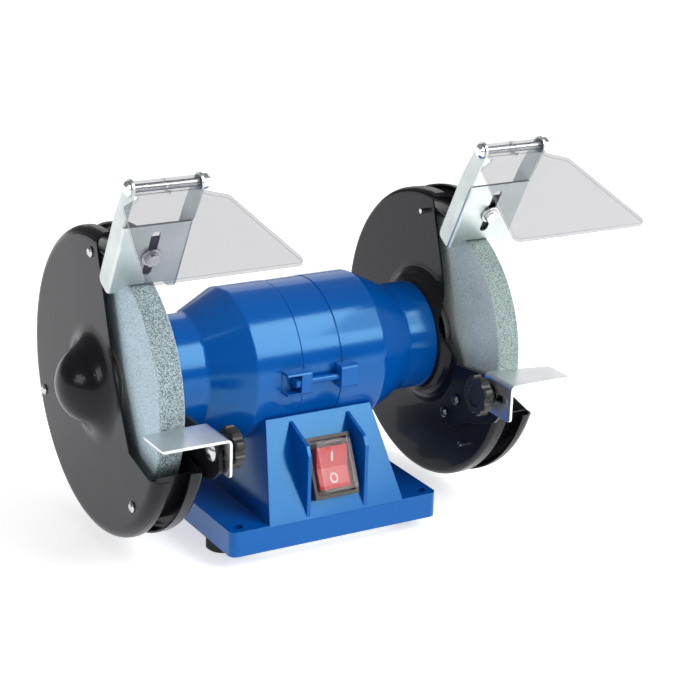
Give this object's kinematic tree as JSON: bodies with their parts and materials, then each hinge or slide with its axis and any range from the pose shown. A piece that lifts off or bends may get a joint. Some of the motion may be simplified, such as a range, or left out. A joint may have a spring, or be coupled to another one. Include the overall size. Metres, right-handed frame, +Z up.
{
  "type": "bench grinder",
  "caption": "Bench grinder: a motor on a pedestal base drives a grinding wheel at each end, with guards, tool rests and tilting clear eye shields.",
  "frame": {"origin": "centre of the four bench-bolt holes, on the underside of the base casting", "axes": "+X along the shaft to the operator's right, +Y away from the operator, +Z up"},
  "size_m": [0.4104, 0.3047, 0.3142],
  "materials": {
    "blue_paint": "gloss enamel on an alloy casting",
    "black_paint": "satin powder coat on pressed steel",
    "zinc_plate": "bright zinc plate",
    "bright_steel": "turned and ground",
    "lamination_steel": "stacked laminations",
    "copper_wire": "varnished winding wire",
    "cage_aluminium": "as cast",
    "can_aluminium": "drawn can",
    "black_plastic": "fine texture",
    "red_plastic": "gloss",
    "clear_rubber": "clear flexible cover",
    "clear_shield": "clear polycarbonate",
    "foot_rubber": "matt",
    "cream_plastic": "satin",
    "blotter_card": "plain card",
    "coarse_abrasive": "open bonded grit",
    "fine_abrasive": "open bonded grit"
  },
  "bodies": {
    "frame": {"base": "blue_paint", "bottom_cover": "zinc_plate", "rubber_feet": "foot_rubber", "foot_screws": "zinc_plate", "cover_screws": "zinc_plate", "cord_gland": "black_plastic", "run_capacitor": "can_aluminium", "capacitor_clip": "zinc_plate", "terminal_block": "cream_plastic", "switch_housing": "black_plastic", "switch_boot": "clear_rubber", "left_end_bell": "blue_paint", "right_end_bell": "blue_paint", "stator_shell": "blue_paint", "stator_core": "lamination_steel", "stator_windings": "copper_wire", "through_bolts": "blue_paint", "motor_screws": "zinc_plate", "bearing_outer_races": "bright_steel", "left_guard_inner": "black_paint", "right_guard_inner": "black_paint", "left_guard_band": "black_paint", "right_guard_band": "black_paint", "left_guard_cover": "black_paint", "right_guard_cover": "black_paint", "guard_screws": "zinc_plate", "guard_mount_screws": "zinc_plate", "left_rest_arm": "black_paint", "right_rest_arm": "black_paint", "rest_arm_screws": "zinc_plate", "rest_clamp_bolts": "zinc_plate", "bracket_bolts": "zinc_plate"},
    "rotor": {"shaft": "bright_steel", "rotor_core": "lamination_steel", "rotor_cage": "cage_aluminium", "bearing_inner_races": "bright_steel", "bearing_balls": "bright_steel", "wheel_flanges": "bright_steel", "wheel_blotters": "blotter_card", "spindle_nuts": "zinc_plate", "left_wheel": "coarse_abrasive", "right_wheel": "fine_abrasive"},
    "rocker": {"switch_rocker": "red_plastic"},
    "left_bracket": {"left_shield_bracket": "zinc_plate", "left_shield_pivot": "zinc_plate"},
    "right_bracket": {"right_shield_bracket": "zinc_plate", "right_shield_pivot": "zinc_plate"},
    "left_eye_shield": {"left_shield": "clear_shield"},
    "right_eye_shield": {"right_shield": "clear_shield"},
    "left_rest": {"left_tool_rest": "zinc_plate"},
    "right_rest": {"right_tool_rest": "zinc_plate"},
    "left_knob": {"left_rest_knob": "black_plastic"},
    "right_knob": {"right_rest_knob": "black_plastic"}
  },
  "joints": [
    {"name": "rotor_spin", "type": "hinge", "parent": "frame", "child": "rotor", "pos_m": [0, 0, 0.124], "axis": [1, 0, 0], "continuous": true},
    {"name": "switch_rock", "type": "hinge", "parent": "frame", "child": "rocker", "pos_m": [0, -0.0735, 0.05355], "axis": [1, 0, 0], "range_deg": [-20, 0]},
    {"name": "left_bracket_slide", "type": "slide", "parent": "frame", "child": "left_bracket", "axis": [0, -0.4617, 0.887], "range_m": [-0.002, 0.015]},
    {"name": "left_shield_tilt", "type": "hinge", "parent": "left_bracket", "child": "left_eye_shield", "pos_m": [-0.1465, -0.08617, 0.29623], "axis": [1, 0, 0], "range_deg": [-75, 55]},
    {"name": "left_rest_slide", "type": "slide", "parent": "frame", "child": "left_rest", "axis": [0, -1, 0], "range_m": [-0.0005, 0.009]},
    {"name": "left_knob_turn", "type": "hinge", "parent": "frame", "child": "left_knob", "pos_m": [-0.1075, -0.117, 0.104], "axis": [1, 0, 0], "range_deg": [0, 360]},
    {"name": "right_bracket_slide", "type": "slide", "parent": "frame", "child": "right_bracket", "axis": [0, -0.4617, 0.887], "range_m": [-0.002, 0.015]},
    {"name": "right_shield_tilt", "type": "hinge", "parent": "right_bracket", "child": "right_eye_shield", "pos_m": [0.1465, -0.08617, 0.29623], "axis": [1, 0, 0], "range_deg": [-75, 55]},
    {"name": "right_rest_slide", "type": "slide", "parent": "frame", "child": "right_rest", "axis": [0, -1, 0], "range_m": [-0.0103, 0.001]},
    {"name": "right_knob_turn", "type": "hinge", "parent": "frame", "child": "right_knob", "pos_m": [0.1075, -0.117, 0.11], "axis": [-1, 0, 0], "range_deg": [0, 360]}
  ]
}
